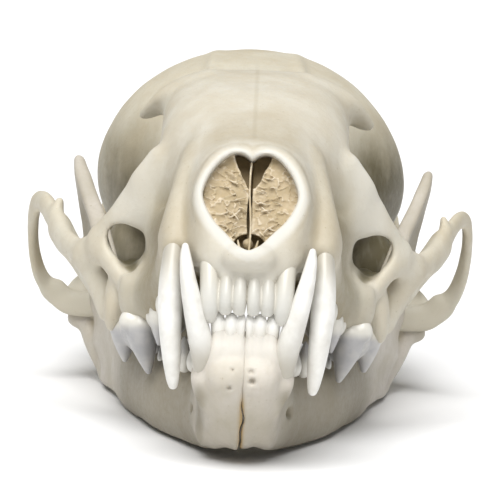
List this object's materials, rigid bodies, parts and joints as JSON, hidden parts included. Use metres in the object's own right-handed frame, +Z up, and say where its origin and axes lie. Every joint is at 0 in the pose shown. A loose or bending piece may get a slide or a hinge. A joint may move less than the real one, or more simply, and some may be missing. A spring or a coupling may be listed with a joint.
{
  "type": "marten skull",
  "caption": "Life-size marten skull with closed lower jaw: long braincase, thin flared cheekbones, heart-shaped nose opening and long canines, resting on its jaw.",
  "frame": {"origin": "on the surface it rests on, under the middle of the skull's bounding box", "axes": "+Z up, +Y from nose to back of the head, +X to the animal's left"},
  "size_m": [0.0504, 0.0892, 0.0383],
  "materials": {
    "face": "smooth dry bone, slight sheen",
    "braincase": "smooth dry bone, slight sheen",
    "zygomatic_arch_left": "smooth dry bone, slight sheen",
    "zygomatic_arch_right": "smooth dry bone, slight sheen",
    "auditory_bulla_left": "smooth dry bone, slight sheen",
    "auditory_bulla_right": "smooth dry bone, slight sheen",
    "nasal_septum": "dull thin bone",
    "turbinates_left": "dull thin bone",
    "turbinates_right": "dull thin bone",
    "mandible_left": "smooth dry bone, slight sheen",
    "mandible_right": "smooth dry bone, slight sheen",
    "upper_canine_left": "glossy enamel",
    "upper_canine_right": "glossy enamel",
    "lower_canine_left": "glossy enamel",
    "lower_canine_right": "glossy enamel"
  },
  "bodies": {
    "root": {"face": "face", "braincase": "braincase", "zygomatic_arch_left": "zygomatic_arch_left", "zygomatic_arch_right": "zygomatic_arch_right", "auditory_bulla_left": "auditory_bulla_left", "auditory_bulla_right": "auditory_bulla_right", "nasal_septum": "nasal_septum", "turbinates_left": "turbinates_left", "turbinates_right": "turbinates_right", "mandible_left": "mandible_left", "mandible_right": "mandible_right", "upper_canine_left": "upper_canine_left", "upper_canine_right": "upper_canine_right", "lower_canine_left": "lower_canine_left", "lower_canine_right": "lower_canine_right"}
  },
  "joints": []
}
